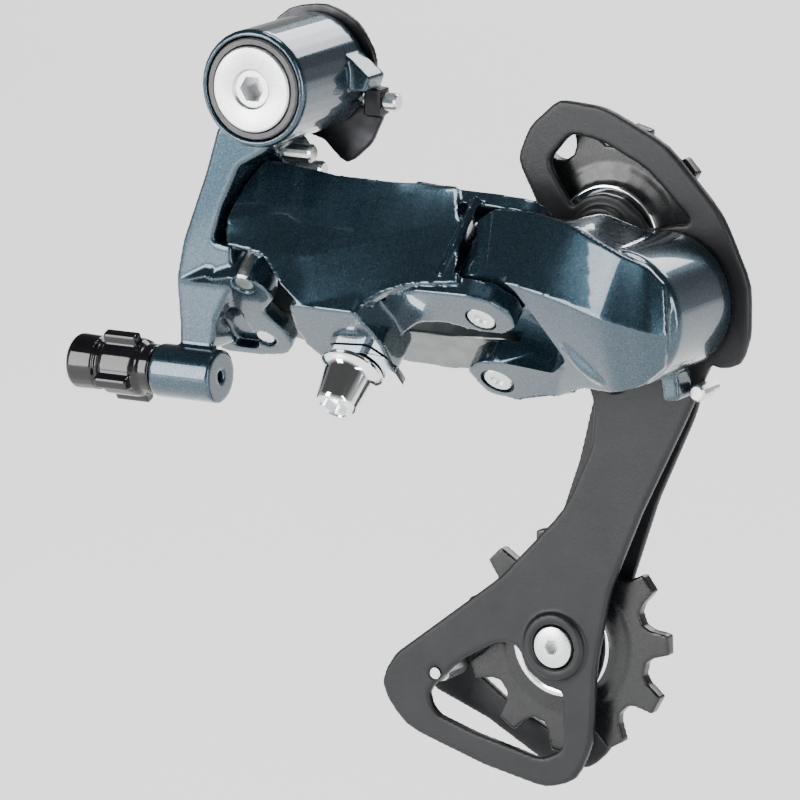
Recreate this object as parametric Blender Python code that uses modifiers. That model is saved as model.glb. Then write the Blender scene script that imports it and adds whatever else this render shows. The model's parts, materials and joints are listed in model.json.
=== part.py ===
"""Rear bicycle derailleur with a slant parallelogram and a long cage.

Axes: +X towards the front of the bicycle, +Y inboard (towards the wheel), +Z up.
The origin is on the mounting bolt's axis, at the face that meets the frame's hanger.
Sizes in this file are millimetres; MM turns them into Blender's metres.

The four link pins lean 48 degrees, so the links live in a tilted frame of their own.
There x is the same as +X, b runs inboard and down, and h runs up along the pins.
"""

import math

import bmesh
import bpy
from mathutils import Matrix, Vector

MM = 0.001
GAP = 0.3
OBJECT_NAME = "rear_derailleur"

# --- driving dimensions -------------------------------------------------------------------

PIN_LEAN = 48.0
LINK_LENGTH = 54.7
LINK_REST_ANGLE = 2.7
PIN_RADIUS = 2.4
B_OUTER = Vector((-5.0, 14.5))
PIN_PAIR = Vector((-2.0, 18.2))

BARREL_RADIUS = 12.2
BARREL_FRONT = -29.5
BARREL_BACK = -3.3
AXLE_RADIUS = 4.9
AXLE_HEAD_RADIUS = 8.9
AXLE_HEAD_FACE = -30.0
AXLE_END = 8.5

P_AXIS = Vector((79.5, -41.1))
P_BARREL_RADIUS = 14.4
P_BARREL_BACK = 1.6
P_BARREL_FRONT = -22.4

CHAIN_PITCH = 12.7
PULLEY_TEETH = 11
TOOTH_THICKNESS = 2.7
PULLEY_PLANE = 9.2
GUIDE_AXIS = Vector((63.5, -30.6))
TENSION_AXIS = Vector((52.8, -116.8))
OUTER_PLATE = (3.0, 5.0)
INNER_PLATE = (13.4, 15.0)
CAGE_PIN = Vector((24.5, -126.0))

LUG_AXIS = (-25.0, -61.5)
LUG_RADIUS = 5.6
CLAMP_AXIS = Vector((20.3, 26.2))
BOSS_FACE = -53.4

# --- values worked out from them ----------------------------------------------------------

LINK = LINK_LENGTH * Vector((math.cos(math.radians(LINK_REST_ANGLE)), math.sin(math.radians(LINK_REST_ANGLE))))
B_INNER = B_OUTER + PIN_PAIR
P_OUTER = B_OUTER + LINK
P_INNER = B_INNER + LINK
PITCH_RADIUS = CHAIN_PITCH / (2 * math.sin(math.pi / PULLEY_TEETH))

WORLD = Matrix.Identity(4)
LEAN = Matrix.Rotation(math.radians(-PIN_LEAN), 4, "X")
# Flat outlines are drawn in local x and y. UPRIGHT stands them in the X-Z plane, seen from outboard.
UPRIGHT = Matrix.Rotation(math.radians(90), 4, "X")
# Turned pieces are drawn about local z. These lay that axis along +Y or +X.
ALONG_Y = Matrix.Rotation(math.radians(-90), 4, "X")
ALONG_X = Matrix.Rotation(math.radians(90), 4, "Y")

# --- scene --------------------------------------------------------------------------------

for leftover in list(bpy.data.objects):
    bpy.data.objects.remove(leftover, do_unlink=True)

PARTS = bpy.data.collections.new(OBJECT_NAME)
CUTTERS = bpy.data.collections.new("cutters")
bpy.context.scene.collection.children.link(PARTS)
bpy.context.scene.collection.children.link(CUTTERS)

# name: (colour, roughness, metallic)
FINISHES = {
    "paint": ((0.16, 0.25, 0.32), 0.30, 0.75),
    "machined_steel": ((0.78, 0.79, 0.80), 0.30, 1.0),
    "chrome": ((0.86, 0.87, 0.88), 0.08, 1.0),
    "zinc_steel": ((0.72, 0.74, 0.74), 0.35, 1.0),
    "spring_steel": ((0.35, 0.36, 0.37), 0.40, 1.0),
    "black_steel": ((0.06, 0.06, 0.065), 0.45, 0.6),
    "grey_link": ((0.22, 0.24, 0.24), 0.50, 0.6),
    "satin_black": ((0.045, 0.05, 0.055), 0.50, 0.1),
    "black_resin": ((0.025, 0.027, 0.03), 0.38, 0.0),
    "gloss_black": ((0.03, 0.028, 0.035), 0.18, 0.0),
    "grey_resin": ((0.13, 0.13, 0.14), 0.45, 0.0),
}


def material(finish):
    """The Principled material of one finish, made once."""
    name = "finish_" + finish
    if name in bpy.data.materials:
        return bpy.data.materials[name]
    colour, roughness, metallic = FINISHES[finish]
    made = bpy.data.materials.new(name)
    made.use_nodes = True
    shader = made.node_tree.nodes["Principled BSDF"]
    shader.inputs["Base Color"].default_value = (*colour, 1.0)
    shader.inputs["Roughness"].default_value = roughness
    shader.inputs["Metallic"].default_value = metallic
    made.diffuse_color = (*colour, 1.0)
    return made


# --- bodies: an empty on each joint's axis ------------------------------------------------

def lean_point(x, b, h):
    """A point of the tilted link frame, in world millimetres."""
    return LEAN @ Vector((x, b, h))


def pivot_empty(name, place, turn=WORLD):
    """An empty that stands on a joint's axis and carries one moving body."""
    empty = bpy.data.objects.new(name, None)
    empty.empty_display_size = 5 * MM
    empty.matrix_world = Matrix.Translation(Vector(place) * MM) @ turn
    PARTS.objects.link(empty)
    return empty


BODIES = {
    "hanger_side": pivot_empty("axis_of_hanger_side", (0, 0, 0)),
    "bracket": pivot_empty("axis_of_bracket", (0, 0, 0)),
    "outer_link": pivot_empty("axis_of_outer_link", lean_point(*B_OUTER, -35), LEAN),
    "inner_link": pivot_empty("axis_of_inner_link", lean_point(*B_INNER, -38), LEAN),
    "p_knuckle": pivot_empty("axis_of_p_knuckle", lean_point(*P_OUTER, -35), LEAN),
    "cage": pivot_empty("axis_of_cage", (P_AXIS.x, 0, P_AXIS.y)),
    "guide_pulley": pivot_empty("axis_of_guide_pulley", (GUIDE_AXIS.x, PULLEY_PLANE, GUIDE_AXIS.y)),
    "tension_pulley": pivot_empty("axis_of_tension_pulley", (TENSION_AXIS.x, PULLEY_PLANE, TENSION_AXIS.y)),
    "adjuster": pivot_empty("axis_of_adjuster", (-26, *LUG_AXIS)),
}


def place(obj, frame, body):
    """Put an object in its frame (millimetres) and hang it on its body's empty."""
    where = frame.copy()
    where.translation = where.translation * MM
    empty = BODIES[body]
    obj.parent = empty
    obj.matrix_parent_inverse = empty.matrix_world.inverted()
    obj.matrix_basis = where


def shift(frame, x=0.0, y=0.0, z=0.0):
    """The same frame moved along its own axes."""
    return frame @ Matrix.Translation((x, y, z))


def add_part(name, mesh, frame, body, finish, smooth=35):
    """A visible sub-part from a finished mesh."""
    obj = bpy.data.objects.new(name, mesh)
    PARTS.objects.link(obj)
    place(obj, frame, body)
    mesh.materials.append(material(finish))
    mesh.shade_smooth()
    mesh.set_sharp_from_angle(angle=math.radians(smooth))
    return obj


def add_cutter(name, mesh, frame, body):
    """A solid that is only used by Boolean modifiers."""
    obj = bpy.data.objects.new("cut_" + name, mesh)
    CUTTERS.objects.link(obj)
    obj.hide_render = True
    obj.display_type = "WIRE"
    place(obj, frame, body)
    return obj


# On these lofted castings the EXACT solver leaves open edges, so they use the other one.
LOFTED_CASTINGS = ("outer_link", "p_knuckle")


def boolean(obj, other, operation):
    """Cut or join obj with another object."""
    modifier = obj.modifiers.new(operation.lower() + "_" + other.name, "BOOLEAN")
    modifier.operation = operation
    modifier.solver = "MANIFOLD" if obj.name in LOFTED_CASTINGS else "EXACT"
    modifier.object = other


# --- shapes -------------------------------------------------------------------------------

def arc(centre, radius, start, end, steps):
    """Points along an arc, angles in degrees."""
    points = []
    for i in range(steps + 1):
        angle = math.radians(start + (end - start) * i / steps)
        points.append((centre[0] + radius * math.cos(angle), centre[1] + radius * math.sin(angle)))
    return points


def rounded(corners, steps=2):
    """A closed outline from corners (x, y, radius), each radius drawn as an arc."""
    outline = []
    count = len(corners)
    for i, (x, y, radius) in enumerate(corners):
        here = Vector((x, y))
        before = Vector(corners[i - 1][:2]) - here
        after = Vector(corners[(i + 1) % count][:2]) - here
        half = before.angle(after) / 2
        reach = min(radius / math.tan(half), 0.49 * before.length, 0.49 * after.length)
        if radius <= 0 or reach < 0.05 or half > 1.55:
            outline.append((x, y))
            continue
        start = here + before.normalized() * reach
        end = here + after.normalized() * reach
        for k in range(steps + 1):
            t = k / steps
            point = (1 - t) ** 2 * start + 2 * t * (1 - t) * here + t ** 2 * end
            outline.append((point.x, point.y))
    return outline


def circle(x, y, radius, sides=24):
    """A closed round outline."""
    return arc((x, y), radius, 0, 360 - 360 / sides, sides - 1)


def prism_mesh(name, outlines, low, high):
    """A flat 2D curve, filled and extruded from local z = low to high; later outlines are holes."""
    curve = bpy.data.curves.new(name, "CURVE")
    curve.dimensions = "2D"
    curve.fill_mode = "BOTH"
    curve.extrude = (high - low) / 2 * MM
    for outline in outlines:
        spline = curve.splines.new("POLY")
        spline.points.add(len(outline) - 1)
        for point, (x, y) in zip(spline.points, outline):
            point.co = (x * MM, y * MM, 0, 1)
        spline.use_cyclic_u = True
    source = bpy.data.objects.new(name, curve)
    bpy.context.scene.collection.objects.link(source)
    bpy.context.view_layer.update()
    evaluated = source.evaluated_get(bpy.context.evaluated_depsgraph_get())
    mesh = bpy.data.meshes.new_from_object(evaluated)
    bpy.data.objects.remove(source, do_unlink=True)
    bpy.data.curves.remove(curve)
    shape = bmesh.new()
    shape.from_mesh(mesh)
    bmesh.ops.remove_doubles(shape, verts=shape.verts, dist=0.00001)
    bmesh.ops.dissolve_limit(shape, angle_limit=0.01, verts=shape.verts, edges=shape.edges)
    bmesh.ops.translate(shape, verts=shape.verts, vec=(0, 0, (low + high) / 2 * MM))
    bmesh.ops.recalc_face_normals(shape, faces=shape.faces)
    shape.to_mesh(mesh)
    shape.free()
    mesh.name = name
    return mesh


def turned_mesh(name, profile, steps=24):
    """A profile of (radius, z) about local z, made solid by a Screw modifier.

    A profile that touches the axis starts and ends there; any other is closed into a ring.
    It runs down its outer side.
    """
    source_mesh = bpy.data.meshes.new(name)
    shape = bmesh.new()
    verts = [shape.verts.new((r * MM, 0, z * MM)) for r, z in profile]
    for first, second in zip(verts, verts[1:]):
        shape.edges.new((first, second))
    if profile[0][0] > 0:
        shape.edges.new((verts[-1], verts[0]))
    shape.to_mesh(source_mesh)
    shape.free()
    source = bpy.data.objects.new(name, source_mesh)
    bpy.context.scene.collection.objects.link(source)
    screw = source.modifiers.new("turn", "SCREW")
    screw.axis = "Z"
    screw.steps = steps
    screw.render_steps = steps
    screw.use_merge_vertices = True
    screw.merge_threshold = 0.00001
    bpy.context.view_layer.update()
    evaluated = source.evaluated_get(bpy.context.evaluated_depsgraph_get())
    mesh = bpy.data.meshes.new_from_object(evaluated)
    bpy.data.objects.remove(source, do_unlink=True)
    bpy.data.meshes.remove(source_mesh)
    shape = bmesh.new()
    shape.from_mesh(mesh)
    bmesh.ops.remove_doubles(shape, verts=shape.verts, dist=0.00001)
    bmesh.ops.recalc_face_normals(shape, faces=shape.faces)
    shape.to_mesh(mesh)
    shape.free()
    mesh.name = name
    return mesh


def cylinder_mesh(name, radius, low, high, sides=20):
    """A round or polygonal bar about local z."""
    shape = bmesh.new()
    bmesh.ops.create_cone(shape, cap_ends=True, segments=sides, radius1=radius * MM, radius2=radius * MM,
                          depth=(high - low) * MM, matrix=Matrix.Translation((0, 0, (low + high) / 2 * MM)))
    mesh = bpy.data.meshes.new(name)
    shape.to_mesh(mesh)
    shape.free()
    return mesh


def box_mesh(name, low, high):
    """A box between two corners."""
    low = Vector(low) * MM
    high = Vector(high) * MM
    shape = bmesh.new()
    bmesh.ops.create_cube(shape, size=1)
    bmesh.ops.scale(shape, verts=shape.verts, vec=high - low)
    bmesh.ops.translate(shape, verts=shape.verts, vec=(low + high) / 2)
    mesh = bpy.data.meshes.new(name)
    shape.to_mesh(mesh)
    shape.free()
    return mesh


def loft_mesh(name, sections):
    """A closed skin over a row of unlike sections with the same number of points."""
    shape = bmesh.new()
    rings = [[shape.verts.new(Vector(p) * MM) for p in section] for section in sections]
    for ring, following in zip(rings, rings[1:]):
        for i in range(len(ring)):
            j = (i + 1) % len(ring)
            shape.faces.new((ring[i], ring[j], following[j], following[i]))
    shape.faces.new(rings[0])
    shape.faces.new(list(reversed(rings[-1])))
    bmesh.ops.triangulate(shape, faces=shape.faces)
    bmesh.ops.recalc_face_normals(shape, faces=shape.faces)
    mesh = bpy.data.meshes.new(name)
    shape.to_mesh(mesh)
    shape.free()
    return mesh


def wire_mesh(name, points, radius):
    """A round wire along a polyline, with closed ends."""
    curve = bpy.data.curves.new(name, "CURVE")
    curve.dimensions = "3D"
    curve.bevel_depth = radius * MM
    curve.bevel_resolution = 1
    curve.use_fill_caps = True
    spline = curve.splines.new("POLY")
    spline.points.add(len(points) - 1)
    for point, place_mm in zip(spline.points, points):
        point.co = (*(Vector(place_mm) * MM), 1)
    source = bpy.data.objects.new(name, curve)
    bpy.context.scene.collection.objects.link(source)
    bpy.context.view_layer.update()
    evaluated = source.evaluated_get(bpy.context.evaluated_depsgraph_get())
    mesh = bpy.data.meshes.new_from_object(evaluated)
    bpy.data.objects.remove(source, do_unlink=True)
    bpy.data.curves.remove(curve)
    shape = bmesh.new()
    shape.from_mesh(mesh)
    bmesh.ops.remove_doubles(shape, verts=shape.verts, dist=0.00001)
    bmesh.ops.recalc_face_normals(shape, faces=shape.faces)
    shape.to_mesh(mesh)
    shape.free()
    mesh.name = name
    return mesh


def coil_points(radius, low, high, turns, per_turn=9):
    """Points of a coil about local z."""
    count = int(turns * per_turn)
    points = []
    for i in range(count + 1):
        angle = 2 * math.pi * i / per_turn
        points.append((radius * math.cos(angle), radius * math.sin(angle), low + (high - low) * i / count))
    return points


# Shorthand for a cutter or an added lump of each kind, in a frame, on a body.

def cut_hole(obj, frame, body, radius, low, high, sides=16):
    cutter = add_cutter(obj.name + "_hole_" + str(len(obj.modifiers)),
                        cylinder_mesh("hole", radius, low, high, sides), frame, body)
    boolean(obj, cutter, "DIFFERENCE")


def cut_shape(obj, mesh, frame, body):
    boolean(obj, add_cutter(obj.name + "_cut_" + str(len(obj.modifiers)), mesh, frame, body), "DIFFERENCE")


def join_shape(obj, mesh, frame, body):
    boolean(obj, add_cutter(obj.name + "_join_" + str(len(obj.modifiers)), mesh, frame, body), "UNION")


# --- hanger side: mounting bolt, sleeve, stopper plate -------------------------------------

def hexagon(across_flats):
    return circle(0, 0, across_flats / math.sqrt(3), 6)


def build_hanger_side():
    body = "hanger_side"
    front = AXLE_HEAD_FACE
    bolt = turned_mesh("b_axle_bolt", [
        (0, AXLE_END), (AXLE_RADIUS - 0.8, AXLE_END), (AXLE_RADIUS, AXLE_END - 0.8), (AXLE_RADIUS, front + 2.6),
        (AXLE_HEAD_RADIUS, front + 2.6), (AXLE_HEAD_RADIUS, front + 0.4), (AXLE_HEAD_RADIUS - 0.4, front),
        (4.2, front), (3.6, front + 0.7), (0, front + 0.7)], 32)
    bolt = add_part("b_axle_bolt", bolt, ALONG_Y, body, "machined_steel")
    cut_shape(bolt, prism_mesh("hex", [hexagon(5.0)], front - 1, front + 4.5), ALONG_Y, body)

    sleeve = turned_mesh("b_axle_sleeve", [
        (AXLE_RADIUS + 0.1, 0), (8.6, 0), (8.6, -1.2), (6.2, -1.2), (6.2, front + 2.9), (AXLE_RADIUS + 0.1, front + 2.9)])
    add_part("b_axle_sleeve", sleeve, ALONG_Y, body, "zinc_steel")

    plate = rounded([(-13.2, -2, 4), (-12.5, 7, 8), (-7, 12.6, 9), (2, 14, 9), (9.5, 11, 9), (13.6, 4, 6), (13.6, -2, 1),
                     (15.8, -3, 1), (15.6, -8, 3), (12.6, -14.5, 5), (6.8, -19.6, 2.5), (1.5, -14.5, 2), (-6, -12.6, 8),
                     (-12, -7.5, 8)])
    stopper = prism_mesh("stopper_plate", [plate, circle(0, 0, 6.5)], 1.5, 2.8)
    stopper = add_part("stopper_plate", stopper, UPRIGHT, body, "black_steel")
    lug = box_mesh("lug", (11.9, 0.4, -8.2), (15.6, 4.6, -2.6))
    join_shape(stopper, lug, shift(WORLD, y=-5.0), body)
    screw_axis = shift(WORLD, 0, -2.5, -5.3) @ ALONG_X
    cut_hole(stopper, screw_axis, body, 1.35, 10, 17)

    screw = turned_mesh("b_tension_screw", [(0, 19.0), (1.5, 19.0), (1.9, 18.6), (1.9, 16.3), (1.2, 15.9), (1.2, 11.2),
                                            (0.9, 10.9), (0, 10.9)], 16)
    add_part("b_tension_screw", screw, screw_axis, body, "zinc_steel")


# --- bracket: the knuckle that turns on the mounting bolt ----------------------------------

def build_bracket():
    body = "bracket"
    barrel = turned_mesh("b_knuckle", [
        (6.5, BARREL_BACK), (BARREL_RADIUS - 0.3, BARREL_BACK), (BARREL_RADIUS, BARREL_BACK - 0.3),
        (BARREL_RADIUS, BARREL_FRONT + 0.8), (BARREL_RADIUS - 0.8, BARREL_FRONT), (10.8, BARREL_FRONT),
        (10.8, BARREL_FRONT + 2.6), (9.6, BARREL_FRONT + 2.6), (9.6, BARREL_BACK - 2.6), (6.5, BARREL_BACK - 2.6)], 32)
    knuckle = add_part("b_knuckle", barrel, ALONG_Y, body, "paint", 30)

    # The arm hangs from the barrel's outboard half and carries the lower flange.
    arm = rounded([(-11.5, -10.5, 1), (-10, -7.8, 0), (2.0, -11.0, 2), (0.5, -13.6, 3), (-6.3, -17.5, 3), (-10.2, -26, 6),
                   (-12.6, -33.5, 1), (-8, -34.2, 0), (-8, -42, 1), (-12.0, -50, 3), (-12.5, -57, 3), (-20.5, -57, 2),
                   (-20.5, -51, 4), (-21.2, -42, 6), (-19.6, -34, 8), (-14.2, -19.5, 3)])
    join_shape(knuckle, prism_mesh("arm", [arm], 13.0, 24.4), UPRIGHT, body)
    # A web ties the arm to the block that holds the upper pin ends and the limit screws.
    upper = rounded([(-13.5, 0.6, 1), (-3.0, 1.6, 1.5), (-1.5, 9.0, 3), (0.4, 14.5, 5), (-1.6, 19.5, 3), (-6, 20.5, 3),
                     (-13.5, 20.5, 3)])
    join_shape(knuckle, prism_mesh("upper_block", [upper], -21.6, -12.5), LEAN, body)
    ear = rounded([(-12, 9.3, 2), (-5, 9.3, 3.5), (0.2, 12.0, 4), (0.2, 17, 4), (-2.0, 20.4, 3), (-3.5, 24, 3),
                   (-2.0, 30, 3), (-1.8, 35, 4), (-5.5, 37.8, 4), (-12.5, 36, 4), (-13.5, 20, 3)])
    join_shape(knuckle, prism_mesh("upper_ear", [ear], -26.0, -21.0), LEAN, body)
    join_shape(knuckle, prism_mesh("inner_ear", [circle(B_INNER.x, B_INNER.y, 5.2)], -34.0, -25.0), LEAN, body)
    # The thick web behind both links.
    web = rounded([(-21, 15.5, 2), (-12.4, 12.2, 1), (-12.4, 20, 1), (-13.4, 26, 2), (-13.4, 37.5, 2), (-19.5, 37.5, 2)])
    join_shape(knuckle, prism_mesh("web", [web], -46.6, -21.3), LEAN, body)
    flange = rounded([(-20.8, 16.0, 1), (-8, 12.2, 2), (-2.0, 12.4, 2), (0.6, 15.2, 3), (0.6, 18.6, 2.5),
                      (-3.6, 23.0, 1.5), (-0.8, 29.5, 3), (-0.6, 34, 3), (-3.6, 37.6, 4), (-10, 38.8, 4), (-20, 38.8, 2)])
    join_shape(knuckle, prism_mesh("flange", [flange], -46.6, -43.0), LEAN, body)
    thick = rounded([(-20.8, 16.0, 1), (-8, 12.2, 2), (-2.0, 12.4, 2), (0.6, 15.2, 3), (0.0, 19.0, 2.5),
                     (-5.6, 21.0, 2), (-12.5, 25, 2), (-20, 25, 2)])
    join_shape(knuckle, prism_mesh("thick_flange", [thick], -44.0, -38.6), LEAN, body)
    # The cable lug lies along X under the arm.
    lug_axis = shift(WORLD, 0, *LUG_AXIS) @ ALONG_X
    join_shape(knuckle, cylinder_mesh("lug", LUG_RADIUS, -24.5, -10.1, 32), lug_axis, body)
    # The stop ear at the barrel's inboard end.
    ear = rounded([(9.5, 6.4, 0.5), (16.6, 0.6, 0.8), (15.4, -2.2, 0.5), (9.0, -2.2, 0.5)])
    join_shape(knuckle, prism_mesh("stop_ear", [ear], 3.6, 10.5), UPRIGHT, body)
    # A pocket under the flange, the pin holes, the screw holes and the cable's way.
    pocket = rounded([(-16, 22, 2), (-9.6, 22, 3), (-9.2, 36.5, 2), (-16, 36.5, 2)])
    cut_shape(knuckle, prism_mesh("pocket", [pocket], -48, -44.6), LEAN, body)
    for x, b in (B_OUTER, B_INNER):
        cut_hole(knuckle, shift(LEAN, x, b), body, PIN_RADIUS + 0.05, -48, -20)
    cut_hole(knuckle, shift(LEAN, *B_OUTER), body, 5.5, -38.5, -26.1, 24)
    # Room for the stopper plate's lobe as the bracket swings.
    cut_shape(knuckle, box_mesh("lobe_room", (-8, -3.2, -23), (4, 6, -10)), WORLD, body)
    for b, h in LIMIT_SCREWS:
        cut_hole(knuckle, shift(LEAN, 0, b, h) @ ALONG_X, body, 2.05, -24, 6, 20)
    cut_hole(knuckle, lug_axis, body, 2.6, -27, -12.4, 20)
    cut_hole(knuckle, lug_axis, body, 1.2, -14, -8, 16)

    ring = turned_mesh("b_dust_ring", [(AXLE_HEAD_RADIUS + 0.3, BARREL_FRONT + 2.3), (10.5, BARREL_FRONT + 2.3),
                                       (10.5, BARREL_FRONT + 0.5), (10.2, BARREL_FRONT + 0.1),
                                       (AXLE_HEAD_RADIUS + 0.3, BARREL_FRONT + 0.1)], 32)
    add_part("b_dust_ring", ring, ALONG_Y, body, "grey_resin")
    spring = wire_mesh("b_spring", coil_points(7.9, BARREL_FRONT + 4.2, BARREL_BACK - 4.4, 6), 0.95)
    add_part("b_spring", spring, ALONG_Y, body, "spring_steel")

    for label, (b, h) in zip(("high", "low"), LIMIT_SCREWS):
        screw = turned_mesh("limit_screw_" + label, [(0, 3.6), (1.5, 3.6), (1.95, 3.1), (1.95, -15.6), (2.8, -15.6),
                                                     (2.8, -17.6), (2.4, -18.0), (0, -18.0)], 16)
        screw = add_part("limit_screw_" + label, screw, shift(LEAN, 0, b, h) @ ALONG_X, body, "zinc_steel")
        cut_shape(screw, box_mesh("slot", (-0.4, -4, -20), (0.4, 4, -17.0)), shift(LEAN, 0, b, h) @ ALONG_X, body)

    for label, pin, top in (("outer", B_OUTER, -20.8), ("inner", B_INNER, -14.6)):
        add_part("b_pin_" + label, pin_mesh("b_pin_" + label, -46.0, top), shift(LEAN, *pin), body, "zinc_steel")


LIMIT_SCREWS = ((4.8, -18.6), (10.8, -18.2))


def pin_mesh(name, low, high):
    """A link pin with domed ends."""
    return turned_mesh(name, [(0, high), (PIN_RADIUS - 0.5, high), (PIN_RADIUS, high - 0.5), (PIN_RADIUS, low + 0.5),
                              (PIN_RADIUS - 0.5, low), (0, low)], 16)


# --- cable adjuster ------------------------------------------------------------------------

def build_adjuster():
    body = "adjuster"
    axis = shift(WORLD, 0, *LUG_AXIS) @ ALONG_X
    knob = turned_mesh("adjuster_knob", [
        (2.9, -24.8), (4.9, -24.8), (5.2, -25.2), (5.2, -27.4), (5.9, -28.2), (6.1, -29.2), (6.1, -36.0), (5.4, -36.8),
        (4.9, -37.2), (4.9, -38.0), (5.6, -38.4), (5.75, -43.8), (5.0, -44.6), (2.9, -44.6)])
    knob = add_part("adjuster_knob", knob, axis, body, "gloss_black")
    for i in range(4):
        wing = rounded([(4.0, -1.6, 0), (8.0, -1.25, 0.8), (8.0, 1.25, 0.8), (4.0, 1.6, 0)])
        turn = Matrix.Rotation(math.radians(90 * i + 20), 4, "Z")
        join_shape(knob, prism_mesh("wing", [wing], -36.2, -28.6), axis @ turn, body)
    screw = turned_mesh("adjuster_screw", [
        (1.3, -13.4), (2.2, -13.4), (2.5, -13.8), (2.5, -43.8), (1.3, -43.8)], 16)
    add_part("adjuster_screw", screw, axis, body, "zinc_steel")


# --- the links -------------------------------------------------------------------------------

# Rails of the outer link's skin, each (x, b, depth below the frame's origin along the pins).
LINK_TOP = ((-7, 3.0, 22.0), (2, 3.8, 22.5), (8, 4.3, 23.0), (11, 4.6, 23.3), (24, 6.3, 22.3), (29, 7.6, 21.0),
            (33, 8.6, 20.2), (36.0, 9.0, 19.8))
LINK_CREASE = ((-8.3, 3.4, 38.2), (2, 4.0, 34.9), (8, 4.5, 32.6), (11, 4.8, 31.4), (25, 6.3, 25.4), (30, 7.3, 23.2),
               (34, 8.2, 21.4), (36.6, 8.9, 20.6))
LINK_VALLEY = ((-7.5, 4.5, 41), (2, 5.0, 42), (8.2, 5.5, 44), (13, 5.8, 43.2), (24, 6.5, 37.6), (31, 7.1, 33.6),
               (36, 7.7, 30), (40, 8.2, 27.5))
LINK_BOTTOM = ((-6.5, 5, 43.4), (2.4, 5.3, 44.6), (8.4, 6.6, 50.5), (13.0, 9.6, 53.2), (24.2, 11.0, 53.0), (30, 9.6, 47.8),
               (36, 8.8, 45.4), (46.6, 8.0, 44.4))
LINK_WALL = 3.2


def build_outer_link():
    body = "outer_link"
    sections = []
    for top, crease, valley, bottom in zip(LINK_TOP, LINK_CREASE, LINK_VALLEY, LINK_BOTTOM):
        outer = [(x, b, -a) for x, b, a in (top, crease, valley, bottom)]
        inner = [(x, b + LINK_WALL, -a + lift) for (x, b, a), lift in zip((bottom, valley, crease, top), (1.8, 0, 0, 0))]
        sections.append(outer + inner)
    link = add_part("outer_link", loft_mesh("outer_link", sections), LEAN, body, "paint", 24)
    # The lug around the bracket's outer pin, between the bracket's ears.
    lug = circle(B_OUTER.x, B_OUTER.y, 5.2, 24)
    join_shape(link, prism_mesh("lug", [lug], -38.3, -26.3), LEAN, body)
    web = rounded([(-8.6, 5.5, 0), (3, 5.5, 0), (2, 9.5, 1), (0.2, 14.5, 1), (-10.0, 14.0, 1)])
    join_shape(link, prism_mesh("web", [web], -38.3, -26.3), LEAN, body)
    # The lower arm that passes under the P knuckle's pin boss, and the upper ear above it.
    lower = rounded([(22, 24, 1), (26, 16, 3), (31, 11.8, 3), (37, 9.4, 3), (49, 9.2, 2), (54, 10.2, 3), (57.6, 14.5, 3),
                     (57.2, 19, 3), (53, 21.4, 3), (47, 21, 3), (40, 19.4, 4), (34, 20.6, 4), (28, 25.6, 3),
                     (24, 31, 1)])
    join_shape(link, prism_mesh("lower_arm", [lower], -46.6, -42.0), LEAN, body)
    upper = rounded([(26, 7.6, 1), (36, 9.2, 1), (46, 9.6, 4), (55, 10.5, 5), (57, 17, 5), (53, 23.5, 5), (46, 23.5, 5),
                     (40, 16, 5), (30, 12.5, 3)])
    join_shape(link, prism_mesh("upper_ear", [upper], -23.6, -20.0), LEAN, body)
    # The rib that closes the skin's front end between the arm and the ear.
    rib = rounded([(29, 9.0, 0), (36, 9.4, 0), (39.0, 11.4, 1), (39.0, 14.8, 1), (36, 15.6, 1), (29, 13, 0)])
    join_shape(link, prism_mesh("rib", [rib], -42.6, -23.0), LEAN, body)
    # The boss under the link that the cable is clamped to.
    boss = rounded([(9.2, 17.4, 1), (10.5, 9.6, 2), (26, 9.8, 1.5), (28.5, 20, 2), (28.0, 31, 3), (20, 33.5, 3),
                    (13, 30, 3), (9.6, 23, 2)])
    join_shape(link, prism_mesh("clamp_boss", [boss], BOSS_FACE, -43.8), LEAN, body)
    for pin in (B_OUTER, P_OUTER):
        cut_hole(link, shift(LEAN, *pin), body, PIN_RADIUS + 0.05, -50, -18)
    cut_hole(link, shift(LEAN, *P_OUTER), body, 3.5, -48, -45.1)
    cut_hole(link, shift(LEAN, *P_OUTER), body, 10.3, -41.95, -23.65, 24)
    # Clear of the bracket's arm.
    clear = [(-20, -11), (1.4, -12.4), (0.2, -14.3), (-5.6, -17.9), (-9.4, -26), (-11.8, -33.5), (-20, -33.5)]
    cut_shape(link, prism_mesh("arm_room", [clear], 12.4, 25), UPRIGHT, body)
    cut_hole(link, shift(LEAN, *CLAMP_AXIS), body, 2.55, -56, -42)

    add_part("p_pin_outer", headed_pin("p_pin_outer", -46.4, -20.3), shift(LEAN, *P_OUTER), body, "zinc_steel")

    axis = shift(LEAN, *CLAMP_AXIS)
    face = BOSS_FACE
    tab = rounded([(-5.6, -4.6, 2), (4.5, -5.6, 2), (9.6, 0.5, 1), (10.0, 5.2, 1.2), (6.4, 6.6, 1), (-3, 5.4, 3)])
    plate = prism_mesh("cable_clamp_plate", [tab, circle(0, 0, 2.7, 24)], face - 2.0, face - 0.3)
    add_part("cable_clamp_plate", plate, axis, body, "chrome")
    bolt = turned_mesh("cable_clamp_bolt", [
        (0, face + 8.0), (2.2, face + 8.0), (2.5, face + 7.6), (2.5, face - 2.3), (6.6, face - 2.3), (6.8, face - 2.7),
        (6.6, face - 3.5), (5.7, face - 4.2), (5.3, face - 5.0), (4.3, face - 12.0), (3.9, face - 12.5),
        (3.3, face - 12.5), (3.0, face - 12.0), (0, face - 12.0)])
    bolt = add_part("cable_clamp_bolt", bolt, axis, body, "chrome")
    cut_shape(bolt, prism_mesh("hex", [hexagon(5.0)], face - 14, face - 8.6), axis, body)


def headed_pin(name, low, high):
    """A riveted pin whose lower end has a wide flat head."""
    return turned_mesh(name, [(0, high), (PIN_RADIUS - 0.4, high), (PIN_RADIUS, high - 0.4), (PIN_RADIUS, low + 1.1),
                              (3.2, low + 1.1), (3.2, low + 0.3), (2.9, low), (1.5, low), (1.1, low + 0.6),
                              (0, low + 0.6)], 16)


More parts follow.
